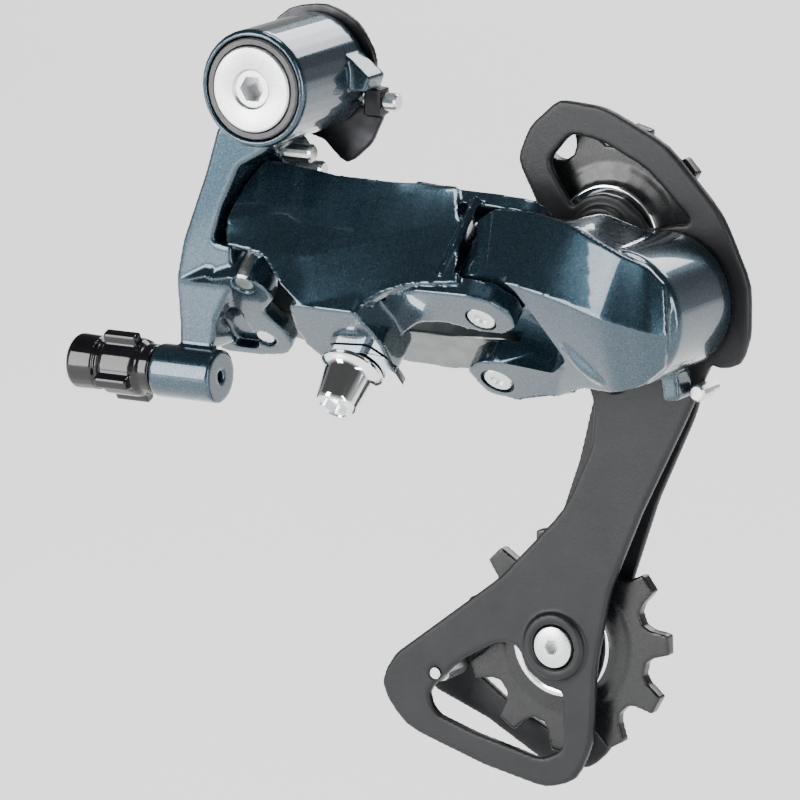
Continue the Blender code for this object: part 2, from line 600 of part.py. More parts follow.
INNER_LINK_SPAN = (-41.7, -34.4)


def build_inner_link():
    body = "inner_link"
    low, high = INNER_LINK_SPAN
    x0, b0 = B_INNER
    x1, b1 = P_INNER
    outline = rounded([(x0 - 5.2, b0 + 2.2, 3), (x0 - 5.2, b0 - 3.5, 3), (x0 - 1, b0 - 5.4, 3), (x0 + 12, b0 - 2.6, 5),
                       (x1 - 12, b1 - 4.2, 5), (x1 + 1, b1 - 5.2, 4), (x1 + 5.2, b1 - 2.5, 3), (x1 + 5.0, b1 + 3, 3),
                       (x1, b1 + 5.0, 4), (x1 - 16, b1 + 7.4, 6), (x0 + 16, b0 + 8.4, 6), (x0 + 2, b0 + 5.4, 4)])
    link = add_part("inner_link", prism_mesh("inner_link", [outline], low, high), LEAN, body, "grey_link")
    hollow = rounded([(x0 + 9, b0 + 0.2, 2), (x1 - 9.5, b1 - 1.6, 2), (x1 - 10, b1 + 3.2, 2), (x1 - 16, b1 + 5.0, 3),
                      (x0 + 16, b0 + 6.0, 3), (x0 + 9, b0 + 4.6, 2)])
    cut_shape(link, prism_mesh("hollow", [hollow], low + 1.8, high + 2), LEAN, body)
    for pin in (B_INNER, P_INNER):
        cut_hole(link, shift(LEAN, *pin), body, PIN_RADIUS + 0.05, -50, -18)


def build_link_spring():
    """The torsion spring above the inner link's bracket pin, with a leg up to the bracket's block."""
    coil = [(x + B_INNER.x, y + B_INNER.y, z) for x, y, z in coil_points(3.9, -19.8, -15.8, 2.25)]
    spring = wire_mesh("link_return_spring", coil, 0.8)
    add_part("link_return_spring", spring, LEAN, "bracket", "spring_steel")


# --- P knuckle -------------------------------------------------------------------------------

def leaned(x, b, depth):
    """A point of the tilted frame, given by its depth below that frame's origin, in the world."""
    return tuple(lean_point(x, b, -depth))


def build_p_knuckle():
    body = "p_knuckle"
    # Rails from the pin boss to the barrel, run round the section: front top, front bottom, underside, back, top.
    front_top = (leaned(43.6, 9.4, 27.5), leaned(47.5, 7.7, 25.4), leaned(57, 7.2, 25.4), (68, -18.6, -23.4),
                 (79.5, -21.6, -26.9), (87, -22.4, -29.4), (90.4, -22.2, -32.8))
    front_bottom = (leaned(49.4, 9.0, 42.0), leaned(52.5, 8.2, 42.6), leaned(60, 8.0, 43.6), (70, -27.6, -37.2),
                    (80, -28.6, -39.6), (89.5, -27.6, -41.8), (93.2, -25.6, -42.6))
    underside = (leaned(48.4, 28, 48.6), leaned(52, 38.6, 48.6), leaned(60, 38.8, 48.6), (70, -12.5, -56.6),
                 (79.5, -17.0, -55.3), (86, -20.6, -53.4), (90.6, -21.4, -49.8))
    back = (leaned(48.4, 28, 35.0), leaned(52, 34.0, 33.0), leaned(60, 34.0, 32.0), (70, 0.5, -50.0),
            (79.5, 1.0, -52.0), (86, 1.0, -50.0), (89, -6.0, -47.0))
    top = (leaned(43.6, 16, 24.4), leaned(47.5, 15.0, 24.0), leaned(57, 15.0, 24.0), (68, -6.0, -22.6),
           (79.5, -2.0, -27.4), (87, -2.0, -31.0), (89, -6.0, -34.5))
    sections = list(zip(front_top, front_bottom, underside, back, top))
    knuckle = add_part("p_knuckle", loft_mesh("p_knuckle", sections), WORLD, body, "paint", 24)
    barrel = turned_mesh("barrel", [(0, P_BARREL_BACK), (P_BARREL_RADIUS - 0.3, P_BARREL_BACK),
                                    (P_BARREL_RADIUS, P_BARREL_BACK - 0.3), (P_BARREL_RADIUS, P_BARREL_FRONT + 1.8),
                                    (P_BARREL_RADIUS - 1.8, P_BARREL_FRONT), (0, P_BARREL_FRONT)], 32)
    axis = shift(WORLD, P_AXIS.x, 0, P_AXIS.y) @ ALONG_Y
    join_shape(knuckle, barrel, axis, body)
    # The boss around the outer link pin and the two ears around the inner one.
    boss = circle(P_OUTER.x, P_OUTER.y, 8.1)
    join_shape(knuckle, prism_mesh("pin_boss", [boss], -41.4, -24.0), LEAN, body)
    ear = rounded([(P_INNER.x - 6.4, P_INNER.y - 3, 3), (P_INNER.x - 2, P_INNER.y - 6.2, 3), (58, 27, 2), (66, 28, 2),
                   (66, 36, 2), (P_INNER.x + 3, P_INNER.y + 6.0, 4), (P_INNER.x - 4, P_INNER.y + 4.8, 3)])
    join_shape(knuckle, prism_mesh("lower_ear", [ear], -48.6, -42.9), LEAN, body)
    ear = rounded([(P_INNER.x - 5.2, P_INNER.y - 3, 2), (P_INNER.x - 3, P_INNER.y - 7, 2), (57, 25, 2), (60, 30, 2),
                   (P_INNER.x + 4.8, P_INNER.y + 3, 3), (P_INNER.x - 4, P_INNER.y + 3, 3)])
    join_shape(knuckle, prism_mesh("upper_ear", [ear], -34.1, -30.6), LEAN, body)
    # Room for the inner link's end, and for the outer link's arm and ear.
    slot = rounded([(30, 22, 1), (45, 24.5, 2), (54.5, 29.5, 2), (56, 37, 3), (52, 44, 2), (30, 46, 1)])
    cut_shape(knuckle, prism_mesh("inner_slot", [slot], -42.9, -34.1), LEAN, body)
    pocket = rounded([(38, 5, 0), (52, 5, 1), (58.8, 9.2, 4), (63, 18, 4), (67, 25.5, 2), (62.4, 30.0, 2), (50, 28.2, 2),
                      (38, 30.5, 0)])
    cut_shape(knuckle, prism_mesh("arm_pocket", [pocket], -52, -41.6), LEAN, body)
    roof = rounded([(36, 4, 0), (52, 2, 4), (60, 8, 4), (60, 18, 5), (56, 26, 4), (36, 26, 0)])
    cut_shape(knuckle, prism_mesh("ear_room", [roof], -23.9, -10), LEAN, body)
    # The spring's chamber and the groove across the barrel's front.
    cut_hole(knuckle, axis, body, 11.4, P_BARREL_FRONT + 5, P_BARREL_BACK + 2, 24)
    cut_hole(knuckle, axis, body, 4.7, P_BARREL_FRONT + 2.5, P_BARREL_BACK + 2, 24)
    for pin in (P_OUTER, P_INNER):
        cut_hole(knuckle, shift(LEAN, *pin), body, PIN_RADIUS + 0.05, -50, -18)
    cut_hole(knuckle, shift(LEAN, *P_INNER), body, 4.0, -52, -47.1)
    # The stop that the cage's stop screw rests against.
    lug = rounded([(80.6, -53, 0), (84.6, -53, 0), (85.4, -60.2, 1), (81.8, -60.8, 1)])
    join_shape(knuckle, prism_mesh("stop_lug", [lug], -1.2, 5.0), UPRIGHT, body)

    add_part("p_pin_inner", headed_pin("p_pin_inner", -48.4, -30.4), shift(LEAN, *P_INNER), body, "zinc_steel")
    spring = wire_mesh("p_spring", coil_points(9.2, P_BARREL_FRONT + 6.8, P_BARREL_BACK - 2.2, 5), 1.1)
    add_part("p_spring", spring, axis, body, "spring_steel")
    seal = turned_mesh("p_seal", [(11.0, P_BARREL_BACK + 1.1), (14.3, P_BARREL_BACK + 1.1), (14.3, P_BARREL_BACK + 0.3),
                                  (11.0, P_BARREL_BACK + 0.3)], 32)
    add_part("p_seal", seal, axis, body, "black_resin")


# --- pulleys ---------------------------------------------------------------------------------

def tooth_outline():
    """Eleven teeth with round valleys for the chain's rollers."""
    root = PITCH_RADIUS - 4.1
    tip = PITCH_RADIUS + 1.3
    pitch = 360 / PULLEY_TEETH
    points = []
    for i in range(PULLEY_TEETH):
        middle = i * pitch
        for angle, radius in ((-5.0, tip), (5.0, tip), (8.4, root + 1.6), (12.2, root + 0.2), (pitch - 12.2, root + 0.2),
                              (pitch - 8.4, root + 1.6)):
            turn = math.radians(middle + angle)
            points.append((radius * math.cos(turn), radius * math.sin(turn)))
    return points


def build_pulley(name, centre, tooth_angle):
    """A moulded pulley on a steel bush, with a dust cap on each side and its bolt."""
    body = name
    axis = shift(WORLD, centre.x, PULLEY_PLANE, centre.y) @ ALONG_Y
    half = TOOTH_THICKNESS / 2
    hub = turned_mesh(name, [(4.2, 2.2), (9.0, 2.2), (9.0, 3.3), (10.2, 3.3), (10.9, 2.6), (12.0, 1.9), (14.5, 1.6),
                             (15.5, half - 0.2), (15.5, 0.2 - half), (14.5, -1.6), (12.0, -1.9), (10.9, -2.6),
                             (10.2, -3.3), (9.0, -3.3), (9.0, -2.2), (4.2, -2.2)], 24)
    pulley = add_part(name, hub, axis, body, "black_resin", 24)
    rim = prism_mesh("rim", [tooth_outline(), circle(0, 0, 14.6, 24)], -half, half)
    join_shape(pulley, rim, axis @ Matrix.Rotation(math.radians(-tooth_angle), 4, "Z"), body)
    for side, label in ((-1, "outer"), (1, "inner")):
        cap = turned_mesh("cap", [(4.4, 3.9), (8.2, 3.9), (8.7, 3.5), (8.7, 2.5), (4.4, 2.5)], 24)
        flip = Matrix.Rotation(math.radians(180), 4, "X") if side < 0 else WORLD
        add_part(name + "_cap_" + label, cap, axis @ flip, "cage", "chrome")
    bush = turned_mesh("bush", [(2.6, 4.1), (4.1, 4.1), (4.1, -4.1), (2.6, -4.1)], 16)
    add_part(name + "_bush", bush, axis, "cage", "zinc_steel")
    bolt = turned_mesh("bolt", [
        (0, 5.7), (2.1, 5.7), (2.5, 5.3), (2.5, -5.6), (4.4, -5.6), (4.4, -7.3), (4.1, -7.6), (0, -7.6)], 16)
    bolt = add_part(name + "_bolt", bolt, axis, "cage", "machined_steel")
    cut_shape(bolt, prism_mesh("hex", [hexagon(3.0)], -9, -5.4), axis, "cage")


# --- cage --------------------------------------------------------------------------------------

OUTER_CONTOUR = ((43.4, -15.6, 4), (46.2, -8.6, 8), (52.8, -2.6, 4), (63.5, -3.2, 14), (78.0, -9.8, 18), (90.5, -23.0, 20),
                 (97.0, -37.0, 14), (97.0, -47.0, 8), (95.0, -53.8, 5), (90.0, -54.6, 2), (88.2, -53.8, 1), (82.1, -66.9, 30),
                 (72.6, -86.3, 30), (65.2, -104.0, 20), (62.2, -120.0, 30), (61.2, -137.0, 12), (57.6, -145.0, 6),
                 (50.5, -147.3, 8), (36.0, -144.2, 30), (17.2, -138.2, 12), (10.6, -129.5, 6), (15.0, -122.8, 6),
                 (39.7, -103.7, 30), (54.6, -87.8, 24), (61.2, -73.5, 14), (61.4, -64.5, 8), (57.2, -54.0, 10),
                 (53.4, -40.0, 10), (54.4, -31.0, 6), (48.8, -26.0, 6))
GUIDE_WINDOW = ((50.4, -15.6, 2.5), (55.8, -9.2, 3), (63.2, -10.4, 12), (73.5, -15.2, 16), (84.0, -25.4, 3), (80.0, -25.9, 2),
                (73.6, -27.6, 1.5), (71.6, -24.8, 4), (67.6, -21.6, 5), (63.0, -20.9, 5), (58.6, -22.2, 5), (56.2, -24.6, 1))
TENSION_WINDOW = ((22.2, -130.4, 3), (24.6, -134.6, 4), (34.0, -137.6, 20), (49.6, -141.2, 4), (54.6, -138.6, 3),
                  (54.6, -126.4, 1.5), (50.4, -125.6, 4), (46.0, -122.8, 4), (44.0, -118.0, 2), (39.6, -117.3, 5),
                  (30.2, -122.6, 20))
INNER_CONTOUR = ((53.2, -27.0, 8), (58.0, -20.6, 7), (68.0, -20.6, 8), (75.0, -28.0, 10), (82.5, -45.0, 12), (80.0, -66.0, 20),
                 (71.0, -86.0, 30), (65.0, -104.0, 20), (62.4, -122.0, 20), (60.6, -140.0, 6), (55.0, -145.2, 5),
                 (44.0, -144.2, 8), (31.1, -137.0, 10), (16.6, -131.4, 3), (18.8, -123.6, 4), (32.0, -112.0, 16),
                 (47.6, -94.0, 24), (52.6, -79.6, 20), (56.4, -64.0, 20), (54.0, -44.0, 14))
INNER_WINDOW = ((27.6, -126.6, 2), (37.6, -116.0, 6), (43.6, -111.5, 2), (44.2, -120.5, 5), (50.5, -125.8, 5), (55.4, -126.4, 1.5),
                (55.4, -137.8, 3), (48.0, -138.6, 4), (36.0, -132.6, 12))


def build_cage():
    body = "cage"
    low, high = OUTER_PLATE
    outlines = [rounded(OUTER_CONTOUR), rounded(GUIDE_WINDOW, 2), rounded(TENSION_WINDOW, 2), circle(66.3, -58.9, 2.9, 20)]
    plate = add_part("cage_outer_plate", prism_mesh("cage_outer_plate", outlines, -high, -low), UPRIGHT, body,
                     "satin_black", 30)
    for centre in (GUIDE_AXIS, TENSION_AXIS):
        axis = shift(WORLD, centre.x, 0, centre.y) @ ALONG_Y
        join_shape(plate, cylinder_mesh("boss", 7.0, 1.8, low + 1, 32), axis, body)
        cut_hole(plate, axis, body, 2.55, -1, 8)
        cut_hole(plate, axis, body, 4.8, -1, low + 0.7)
    p_axis = shift(WORLD, P_AXIS.x, 0, P_AXIS.y) @ ALONG_Y
    cut_hole(plate, p_axis, body, 14.7, -1, low, 32)
    cut_hole(plate, p_axis, body, 4.1, -1, 8, 24)
    cut_hole(plate, shift(WORLD, *P_STOP) @ ALONG_Y, body, 1.3, -1, 8, 16)
    cut_hole(plate, shift(WORLD, CAGE_PIN.x, 0, CAGE_PIN.y) @ ALONG_Y, body, 1.3, -1, 8, 16)

    low, high = INNER_PLATE
    slot = rounded([(61.2, -64.4, 1.4), (63.6, -65.4, 1.4), (55.4, -89.4, 1.4), (53.0, -88.4, 1.4)])
    outlines = [rounded(INNER_CONTOUR), rounded(INNER_WINDOW, 2), slot]
    plate = add_part("cage_inner_plate", prism_mesh("cage_inner_plate", outlines, -high, -low), UPRIGHT, body,
                     "satin_black", 30)
    for centre in (GUIDE_AXIS, TENSION_AXIS):
        cut_hole(plate, shift(WORLD, centre.x, 0, centre.y) @ ALONG_Y, body, 2.55, 10, 20)
    cut_hole(plate, shift(WORLD, CAGE_PIN.x, 0, CAGE_PIN.y) @ ALONG_Y, body, 1.3, 10, 20, 16)

    axle = turned_mesh("p_axle", [(0, 6.6), (5.6, 6.6), (6.0, 6.2), (6.0, 5.3), (4.0, 5.3), (4.0, P_BARREL_FRONT + 3.2),
                                  (0, P_BARREL_FRONT + 3.2)])
    add_part("p_axle", axle, p_axis, body, "zinc_steel")
    pin = turned_mesh("cage_pin", [(0, 15.3), (1.2, 15.3), (1.2, 13.1), (2.2, 13.1), (2.2, 5.3), (1.2, 5.3), (1.2, 3.0),
                                   (0, 3.0)], 12)
    add_part("cage_pin", pin, shift(WORLD, CAGE_PIN.x, 0, CAGE_PIN.y) @ ALONG_Y, body, "machined_steel")
    stop = turned_mesh("cage_stop_screw", [(0, 6.4), (1.2, 6.4), (1.2, 2.7), (1.8, 2.7), (1.8, -1.4), (1.4, -1.8), (0, -1.8)],
                       12)
    add_part("cage_stop_screw", stop, shift(WORLD, *P_STOP) @ ALONG_Y, body, "zinc_steel")


P_STOP = (87.6, 0, -59.0)

build_hanger_side()
build_bracket()
build_adjuster()
build_outer_link()
build_inner_link()
build_link_spring()
build_p_knuckle()
build_pulley("guide_pulley", GUIDE_AXIS, 10)
build_pulley("tension_pulley", TENSION_AXIS, 4.6)
build_cage()
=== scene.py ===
import json
import math

import bmesh
import bpy
from mathutils import Matrix, Vector


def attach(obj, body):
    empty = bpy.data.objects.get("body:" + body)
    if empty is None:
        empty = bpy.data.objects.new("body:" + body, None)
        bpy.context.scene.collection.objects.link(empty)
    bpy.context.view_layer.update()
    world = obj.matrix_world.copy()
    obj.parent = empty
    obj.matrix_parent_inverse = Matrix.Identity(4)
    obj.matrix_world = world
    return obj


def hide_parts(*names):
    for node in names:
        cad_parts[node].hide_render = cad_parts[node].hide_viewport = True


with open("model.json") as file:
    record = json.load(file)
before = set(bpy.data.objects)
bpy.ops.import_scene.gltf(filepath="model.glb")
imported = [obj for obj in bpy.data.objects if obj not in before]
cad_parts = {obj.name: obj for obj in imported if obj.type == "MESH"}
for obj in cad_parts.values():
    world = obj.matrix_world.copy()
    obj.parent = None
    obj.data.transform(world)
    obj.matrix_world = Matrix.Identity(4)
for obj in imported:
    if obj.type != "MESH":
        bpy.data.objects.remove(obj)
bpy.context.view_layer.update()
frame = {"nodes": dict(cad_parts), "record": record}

MM = 0.001                   # shapes below are in millimetres, Blender's in metres
ROUND_SIDES = 48             # sides of a drilled hole or round boss
TURNED_STEPS = 96            # steps round a turned piece
CORNER_STEPS = 6             # steps round an outline's corner
LOFT_SMOOTHING = 5           # passes that even out a loft's rails
SMOOTH_FACTOR = 0.5          # how far each smoothing pass moves a point
CAST_EDGE = math.radians(42)     # steeper edges than these are drawn sharp
TURNED_EDGE = math.radians(28)
CAP_EDGE = math.radians(50)
BEVEL_WIDTH = 0.12 * MM      # broken edges of the CAD nodes that stay
BEVEL_EDGE = math.radians(40)

WHITE = (1.0, 1.0, 1.0, 1.0)
LINK_LEAN = -48.0            # the link pins' tilt about X, in degrees

NODES = frame["nodes"]
BODY_OF = {node: body for body, nodes in frame["record"]["behaviour"]["bodies"].items() for node in nodes}
SLOT_OF = {entry["node"]: entry["material_slot"] for entry in frame["record"]["subparts"]}


# --- materials ------------------------------------------------------------------------------

class Nodes:
    """Builds one material's node tree."""

    def __init__(self, name):
        self.material = bpy.data.materials.new(name)
        self.material.use_nodes = True
        self.tree = self.material.node_tree
        self.shader = self.tree.nodes["Principled BSDF"]
        self.place = self.tree.nodes.new("ShaderNodeTexCoord").outputs["Object"]

    def value(self, **sockets):
        """Sets the shader's own sockets; an underscore stands for a space in a name."""
        for name, number in sockets.items():
            self.shader.inputs[name.replace("_", " ")].default_value = number

    def noise(self, scale, detail):
        noise = self.tree.nodes.new("ShaderNodeTexNoise")
        noise.inputs["Scale"].default_value = scale
        noise.inputs["Detail"].default_value = detail
        self.tree.links.new(self.place, noise.inputs["Vector"])
        return noise.outputs["Fac"]

    def flakes(self, scale):
        """A different value for each small cell, as for metal flakes in paint."""
        cells = self.tree.nodes.new("ShaderNodeTexVoronoi")
        cells.inputs["Scale"].default_value = scale
        self.tree.links.new(self.place, cells.inputs["Vector"])
        split = self.tree.nodes.new("ShaderNodeSeparateColor")
        self.tree.links.new(cells.outputs["Color"], split.inputs["Color"])
        return split.outputs["Red"]

    def ramp(self, fac, stops):
        ramp = self.tree.nodes.new("ShaderNodeValToRGB")
        elements = ramp.color_ramp.elements
        while len(elements) < len(stops):
            elements.new(0.5)
        for element, (position, colour) in zip(elements, stops):
            element.position = position
            element.color = (*colour, 1.0)
        self.tree.links.new(fac, ramp.inputs["Fac"])
        return ramp.outputs["Color"]

    def spread(self, fac, low, high):
        mapped = self.tree.nodes.new("ShaderNodeMapRange")
        mapped.inputs["To Min"].default_value = low
        mapped.inputs["To Max"].default_value = high
        self.tree.links.new(fac, mapped.inputs["Value"])
        return mapped.outputs["Result"]

    def colour(self, fac, *stops):
        """Base colour from stops of (position, colour)."""
        self.tree.links.new(self.ramp(fac, stops), self.shader.inputs["Base Color"])

    def rough(self, fac, low, high):
        self.tree.links.new(self.spread(fac, low, high), self.shader.inputs["Roughness"])

    def bump(self, fac, depth, strength):
        bump = self.tree.nodes.new("ShaderNodeBump")
        bump.inputs["Strength"].default_value = strength
        bump.inputs["Distance"].default_value = depth
        self.tree.links.new(fac, bump.inputs["Height"])
        self.tree.links.new(bump.outputs["Normal"], self.shader.inputs["Normal"])

    def rings(self, axis, pitch):
        """Fine turning lines around an axis through the origin."""
        cross = self.tree.nodes.new("ShaderNodeVectorMath")
        cross.operation = "CROSS_PRODUCT"
        cross.inputs[1].default_value = axis
        self.tree.links.new(self.place, cross.inputs[0])
        length = self.tree.nodes.new("ShaderNodeVectorMath")
        length.operation = "LENGTH"
        self.tree.links.new(cross.outputs["Vector"], length.inputs[0])
        lines = self.tree.nodes.new("ShaderNodeTexNoise")
        lines.noise_dimensions = "1D"
        lines.inputs["Scale"].default_value = 1.0 / pitch
        lines.inputs["Detail"].default_value = 4.0
        self.tree.links.new(length.outputs["Value"], lines.inputs["W"])
        return lines.outputs["Fac"]


def make_paint():
    paint = Nodes("blue_grey_paint")
    paint.value(Metallic=0.8, Coat_Weight=1.0, Coat_Roughness=0.04, Coat_IOR=1.5)
    paint.colour(paint.flakes(8200), (0.0, (0.012, 0.031, 0.047)), (0.7, (0.019, 0.044, 0.064)),
                 (1.0, (0.060, 0.108, 0.142)))
    paint.rough(paint.noise(900, 2), 0.22, 0.34)
    paint.bump(paint.noise(2600, 2), 0.00002, 0.15)
    return paint.material


def resin(name, dark, light, patches, grain, low, high, dents, depth, strength):
    """Moulded plastic or dull paint: colour in soft patches, roughness from grain, bump from dents.

    patches, grain and dents are (noise scale, detail).
    """
    made = Nodes(name)
    made.colour(made.noise(*patches), (0.3, dark), (0.7, light))
    made.rough(made.noise(*grain), low, high)
    made.bump(made.noise(*dents), depth, strength)
    return made


def make_satin_black():
    black = resin("satin_black", (0.006, 0.007, 0.008), (0.011, 0.012, 0.014), (160, 3), (1800, 4), 0.34, 0.5,
                  (1800, 4), 0.00006, 0.5)
    black.value(Specular_IOR_Level=0.35)
    return black.material


def metal(name, dark, light, low, high, scale, grain, depth):
    """A bare or plated metal with a little colour and roughness variation and a fine grain."""
    made = Nodes(name)
    made.value(Metallic=1.0)
    made.colour(made.noise(scale, 3), (0.3, dark), (0.7, light))
    made.rough(made.noise(scale * 2.5, 3), low, high)
    made.bump(made.noise(grain, 3), depth, 0.4)
    return made.material


def make_turned():
    turned = Nodes("machined_steel")
    turned.value(Metallic=1.0, Anisotropic=0.4)
    turned.colour(turned.noise(140, 2), (0.3, (0.66, 0.67, 0.68)), (0.7, (0.8, 0.81, 0.82)))
    lines = turned.rings((0, 1, 0), 0.00012)
    turned.rough(lines, 0.2, 0.38)
    turned.bump(lines, 0.00002, 0.6)
    return turned.material


MATERIALS = {
    "blue_grey_paint": make_paint(),
    "machined_steel": make_turned(),
    "zinc_steel": metal("zinc_steel", (0.62, 0.65, 0.63), (0.78, 0.8, 0.78), 0.22, 0.4, 260, 900,
                        0.00004),
    "spring_steel": metal("spring_steel", (0.2, 0.2, 0.21), (0.32, 0.32, 0.33), 0.3, 0.45, 300, 1200,
                          0.00003),
    "chrome_plate": metal("chrome_plate", (0.82, 0.83, 0.85), (0.9, 0.91, 0.92), 0.05, 0.12, 180, 300,
                          0.00003),
    "black_steel": metal("black_steel", (0.03, 0.03, 0.033), (0.06, 0.06, 0.064), 0.3, 0.5, 240, 900,
                         0.00005),
    "grey_steel": metal("grey_steel", (0.17, 0.185, 0.185), (0.24, 0.255, 0.25), 0.35, 0.5, 260, 1100,
                        0.00005),
    "satin_black": make_satin_black(),
    "black_resin": resin("black_resin", (0.004, 0.004, 0.005), (0.008, 0.009, 0.010), (220, 3), (700, 4), 0.2,
                         0.36, (320, 3), 0.00008, 0.4).material,
    "gloss_black_resin": resin("gloss_black_resin", (0.003, 0.003, 0.004), (0.006, 0.006, 0.008), (180, 2),
                               (500, 3), 0.1, 0.2, (240, 2), 0.00006, 0.35).material,
    "grey_resin": resin("grey_resin", (0.05, 0.05, 0.055), (0.08, 0.08, 0.085), (300, 3), (900, 3), 0.35, 0.5,
                        (1200, 3), 0.00004, 0.4).material,
}


# --- refined copies -----------------------------------------------------------------------

def baked(obj, name):
    """A new mesh object holding what obj's modifiers make of it."""
    bpy.context.view_layer.update()
    evaluated = obj.evaluated_get(bpy.context.evaluated_depsgraph_get())
    mesh = bpy.data.meshes.new_from_object(evaluated)
    mesh.name = name
    made = bpy.data.objects.new(name, mesh)
    bpy.context.scene.collection.objects.link(made)
    return made


def soften(obj, voxel, passes):
    """Remeshes obj at voxel millimetres, which joins overlapping solids, and rounds off its edges."""
    remesh = obj.modifiers.new("remesh", "REMESH")
    remesh.mode = "VOXEL"
    remesh.voxel_size = voxel * MM
    smooth = obj.modifiers.new("smooth", "SMOOTH")
    smooth.factor = SMOOTH_FACTOR
    smooth.iterations = passes


def refined(node, voxel, passes):
    """A finer copy of a CAD node with its edges rounded off as a casting's or moulding's are."""
    source = bpy.data.objects.new("work", NODES[node].data.copy())
    bpy.context.scene.collection.objects.link(source)
    soften(source, voxel, passes)
    made = baked(source, node + "_fine")
    bpy.data.objects.remove(source, do_unlink=True)
    finish_piece(made, node)
    return made


def finish_piece(made, node):
    """Gives a replacement its material, shading and body, and hides the CAD node it stands for."""
    slot = SLOT_OF[node]
    made.data.materials.clear()
    made.data.materials.append(MATERIALS[slot])
    for polygon in made.data.polygons:
        polygon.use_smooth = True
    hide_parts(node)
    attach(made, BODY_OF[node])


# --- rebuilt castings ---------------------------------------------------------------------
# LEAN is the tilted frame of the link pins: x as +X, b inboard and down, h up the pins. A point's
# depth is minus its h.

LEAN = Matrix.Rotation(math.radians(LINK_LEAN), 4, "X")
UPRIGHT = Matrix.Rotation(math.radians(90.0), 4, "X")     # x, z, and -y as its third axis
ALONG_Y = Matrix.Rotation(math.radians(-90.0), 4, "X")    # +Y as its third axis
P_AXIS = Matrix.Translation((79.5, 0, -41.1)) @ ALONG_Y

LINK = 54.7 * Vector((math.cos(math.radians(2.7)), math.sin(math.radians(2.7))))   # pin to pin
B_OUTER = Vector((-5.0, 14.5))          # the pins and the clamp bolt, in LEAN
P_OUTER = B_OUTER + LINK
P_INNER = B_OUTER + Vector((-2.0, 18.2)) + LINK
CLAMP_AXIS = Vector((20.3, 26.2))
PIN_BORE = 2.45                         # radii
CLAMP_BORE = 2.55

PULLEY_MIDDLE = 9.2                     # Y of both pulleys' middle planes
PULLEYS = {"guide_pulley": (63.5, -30.6), "tension_pulley": (52.8, -116.8)}     # X and Z of the axes


def circle(centre, radius, sides=ROUND_SIDES):
    turns = (2 * math.pi * i / sides for i in range(sides))
    return [(centre[0] + radius * math.cos(turn), centre[1] + radius * math.sin(turn)) for turn in turns]


def hexagon(across_flats):
    return circle((0, 0), across_flats / 2 / math.cos(math.pi / 6), 6)


def rounded(corners):
    """A closed outline from corners (x, y, radius)."""
    outline = []
    for i, (x, y, radius) in enumerate(corners):
        here = Vector((x, y))
        before = Vector(corners[i - 1][:2]) - here
        after = Vector(corners[(i + 1) % len(corners)][:2]) - here
        half = before.angle(after) / 2
        reach = min(radius / math.tan(half), 0.49 * before.length, 0.49 * after.length)
        if radius <= 0 or half > 1.55:
            outline.append((x, y))
            continue
        start = here + before.normalized() * reach
        end = here + after.normalized() * reach
        for k in range(CORNER_STEPS + 1):
            t = k / CORNER_STEPS
            point = (1 - t) ** 2 * start + 2 * t * (1 - t) * here + t ** 2 * end
            outline.append((point.x, point.y))
    return outline


def add_prism(shape, outline, low, high, place):
    """A closed prism from low to high along place's third axis."""
    low_ring = [shape.verts.new(place @ Vector((x, y, low)) * MM) for x, y in outline]
    high_ring = [shape.verts.new(place @ Vector((x, y, high)) * MM) for x, y in outline]
    shape.faces.new(low_ring[::-1])
    shape.faces.new(high_ring)
    for i in range(len(outline)):
        j = (i + 1) % len(outline)
        shape.faces.new((low_ring[i], low_ring[j], high_ring[j], high_ring[i]))


def turned_rings(shape, profile, place):
    """Rings of points round place's third axis; profile is (radius, height), and radius 0 is one point."""
    rings = []
    for radius, height in profile:
        outline = circle((0, 0), radius, TURNED_STEPS) if radius else [(0, 0)]
        rings.append([shape.verts.new(place @ Vector((x, y, height)) * MM) for x, y in outline])
    return rings


def add_turned(shape, profile, place):
    """A closed solid of revolution whose profile starts and ends on the axis."""
    rings = turned_rings(shape, profile, place)
    for a, b in zip(rings, rings[1:]):
        for i in range(TURNED_STEPS):
            j = (i + 1) % TURNED_STEPS
            if len(a) == 1:
                shape.faces.new((a[0], b[i], b[j]))
            elif len(b) == 1:
                shape.faces.new((a[i], b[0], a[j]))
            else:
                shape.faces.new((a[i], b[i], b[j], a[j]))


def sampled(rail, count):
    """A rail with count equal steps shared out over its points, evened out, with its ends kept."""
    points = []
    for i in range(count + 1):
        t = i / count * (len(rail) - 1)
        k = min(int(t), len(rail) - 2)
        f = t - k
        points.append([p * (1 - f) + q * f for p, q in zip(rail[k], rail[k + 1])])
    for _ in range(LOFT_SMOOTHING):
        inner = [[(u + 2 * v + w) / 4 for u, v, w in zip(points[i - 1], points[i], points[i + 1])]
                 for i in range(1, count)]
        points = [points[0], *inner, points[-1]]
    return points


def add_loft(shape, sections):
    """A closed loft through rings of points in metres."""
    rings = [[shape.verts.new(point) for point in section] for section in sections]
    count = len(rings[0])
    shape.faces.new(rings[0])
    shape.faces.new(rings[-1][::-1])
    for a, b in zip(rings, rings[1:]):
        for i in range(count):
            j = (i + 1) % count
            shape.faces.new((a[i], b[i], b[j], a[j]))


def object_from(shape, name):
    """An object holding the shape, with its faces turned outwards."""
    mesh = bpy.data.meshes.new(name)
    bmesh.ops.recalc_face_normals(shape, faces=shape.faces)
    shape.to_mesh(mesh)
    shape.free()
    made = bpy.data.objects.new(name, mesh)
    bpy.context.scene.collection.objects.link(made)
    return made


